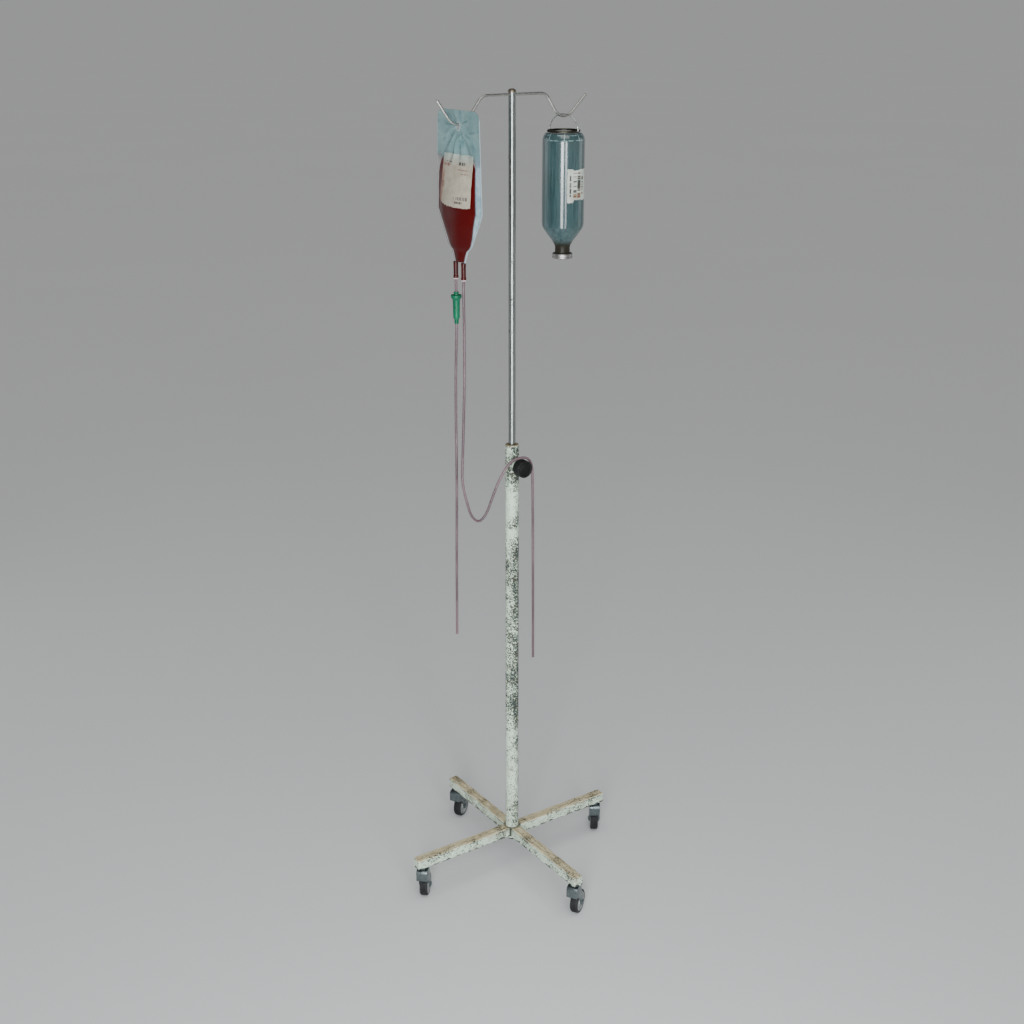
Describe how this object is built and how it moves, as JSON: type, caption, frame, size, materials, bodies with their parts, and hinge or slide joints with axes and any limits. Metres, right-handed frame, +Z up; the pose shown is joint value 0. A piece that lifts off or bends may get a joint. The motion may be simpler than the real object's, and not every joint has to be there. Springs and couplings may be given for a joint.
{
  "type": "drip stand",
  "caption": "Wheeled drip stand: a cross base on swivel casters, a column with a clamped sliding rod, and wire hooks holding a blood bag and an infusion bottle.",
  "frame": {"origin": "on the floor, under the column's axis, at the middle of the cross base", "axes": "+Z up along the column; +X along the leg on the bottle's side, -X along the leg on the bag's side, -Y along the leg under the clamp knob"},
  "size_m": [0.5825, 0.5806, 1.898],
  "materials": {
    "paint": "worn, chipped cream enamel",
    "zinc": "dull zinc plate",
    "bright_steel": "bright, lightly scratched",
    "bronze": "brownish grey, satin",
    "knob_plastic": "matte black",
    "nylon": "natural nylon",
    "brass": "plain",
    "tyre": "black, grooved",
    "wheel_plastic": "light grey, scuffed",
    "blood_film": "clear vinyl film over dark red blood",
    "port_vinyl": "clear vinyl tube, blood inside",
    "cap_plastic": "pale pink",
    "line_vinyl": "translucent, greyish pink",
    "connector_plastic": "green, translucent",
    "bottle_glass": "dark blue-green glass",
    "stopper_rubber": "grey rubber",
    "crimp_metal": "crimped aluminium"
  },
  "bodies": {
    "base": {"leg_right": "paint", "leg_cap_right": "paint", "caster_stem_right": "zinc", "caster_nut_right": "zinc", "leg_rear": "paint", "leg_cap_rear": "paint", "caster_stem_rear": "zinc", "caster_nut_rear": "zinc", "leg_left": "paint", "leg_cap_left": "paint", "caster_stem_left": "zinc", "caster_nut_left": "zinc", "leg_front": "paint", "leg_cap_front": "paint", "caster_stem_front": "zinc", "caster_nut_front": "zinc", "base_plate": "zinc", "base_bolt": "zinc", "column_foot": "zinc", "column_tube": "paint", "tube_collar": "paint", "clamp_boss": "paint", "line_draped": "line_vinyl"},
    "mast_slider": {"rod_guide": "nylon"},
    "mast": {"rod": "bright_steel", "rod_cap": "bronze", "hook_wire": "bright_steel"},
    "clamp_tip": {"clamp_pad": "brass"},
    "clamp_screw": {"clamp_knob": "knob_plastic", "clamp_stud": "zinc"},
    "bag": {"blood_bag": "blood_film", "bag_port_rear": "port_vinyl", "bag_port_front": "port_vinyl", "port_cap_rear": "cap_plastic", "port_cap_front": "cap_plastic", "line_short": "line_vinyl", "line_connector": "connector_plastic", "line_free": "line_vinyl"},
    "bail": {"hanger_bail": "bright_steel"},
    "bottle": {"bottle": "bottle_glass", "bottle_stopper": "stopper_rubber", "bottle_crimp": "crimp_metal", "hanger_ring": "bronze"},
    "caster_right": {"caster_fork_right": "zinc", "caster_axle_right": "zinc"},
    "wheel_right": {"caster_wheel_right": "wheel_plastic", "caster_tyre_right": "tyre"},
    "caster_rear": {"caster_fork_rear": "zinc", "caster_axle_rear": "zinc"},
    "wheel_rear": {"caster_wheel_rear": "wheel_plastic", "caster_tyre_rear": "tyre"},
    "caster_left": {"caster_fork_left": "zinc", "caster_axle_left": "zinc"},
    "wheel_left": {"caster_wheel_left": "wheel_plastic", "caster_tyre_left": "tyre"},
    "caster_front": {"caster_fork_front": "zinc", "caster_axle_front": "zinc"},
    "wheel_front": {"caster_wheel_front": "wheel_plastic", "caster_tyre_front": "tyre"}
  },
  "joints": [
    {"name": "mast_height", "type": "slide", "parent": "base", "child": "mast_slider", "axis": [0, 0, 1], "range_m": [-0.45, 0.1], "deforming": ["line_draped"]},
    {"name": "mast_turn", "type": "hinge", "parent": "mast_slider", "child": "mast", "pos_m": [0, 0, 1.1], "axis": [0, 0, 1], "range_deg": [-90, 90]},
    {"name": "clamp_travel", "type": "slide", "parent": "base", "child": "clamp_tip", "axis": [0, -1, 0], "range_m": [0, 0.0025]},
    {"name": "clamp_turn", "type": "hinge", "parent": "clamp_tip", "child": "clamp_screw", "pos_m": [0, -0.04, 1.073], "axis": [0, -1, 0], "range_deg": [0, 720]},
    {"name": "bag_swing", "type": "hinge", "parent": "mast", "child": "bag", "pos_m": [-0.134, 0, 1.8311], "axis": [1, 0, 0], "range_deg": [-20, 20]},
    {"name": "bail_swing", "type": "hinge", "parent": "mast", "child": "bail", "pos_m": [0.1355, 0, 1.8366], "axis": [1, 0, 0], "range_deg": [-20, 20]},
    {"name": "bottle_tilt", "type": "hinge", "parent": "bail", "child": "bottle", "pos_m": [0.1355, 0, 1.80555], "axis": [-0.2924, 0.9563, 0], "range_deg": [-10, 10]},
    {"name": "swivel_right", "type": "hinge", "parent": "base", "child": "caster_right", "pos_m": [0.262, 0, 0.089], "axis": [0, 0, 1], "continuous": true},
    {"name": "roll_right", "type": "hinge", "parent": "caster_right", "child": "wheel_right", "pos_m": [0.27691, 0.0213, 0.029], "axis": [-0.8192, 0.5736, 0], "continuous": true},
    {"name": "swivel_rear", "type": "hinge", "parent": "base", "child": "caster_rear", "pos_m": [0, 0.262, 0.089], "axis": [0, 0, 1], "continuous": true},
    {"name": "roll_rear", "type": "hinge", "parent": "caster_rear", "child": "wheel_rear", "pos_m": [0.02181, 0.27616, 0.029], "axis": [-0.5446, 0.8387, 0], "continuous": true},
    {"name": "swivel_left", "type": "hinge", "parent": "base", "child": "caster_left", "pos_m": [-0.262, 0, 0.089], "axis": [0, 0, 1], "continuous": true},
    {"name": "roll_left", "type": "hinge", "parent": "caster_left", "child": "wheel_left", "pos_m": [-0.2446, 0.01932, 0.029], "axis": [-0.7431, 0.6691, 0], "continuous": true},
    {"name": "swivel_front", "type": "hinge", "parent": "base", "child": "caster_front", "pos_m": [0, -0.262, 0.089], "axis": [0, 0, 1], "continuous": true},
    {"name": "roll_front", "type": "hinge", "parent": "caster_front", "child": "wheel_front", "pos_m": [0.02181, -0.24784, 0.029], "axis": [-0.5446, 0.8387, 0], "continuous": true}
  ],
  "couplings": [
    {"joint": "clamp_turn", "follows": "clamp_travel", "rad_per_m": 5026.5}
  ]
}
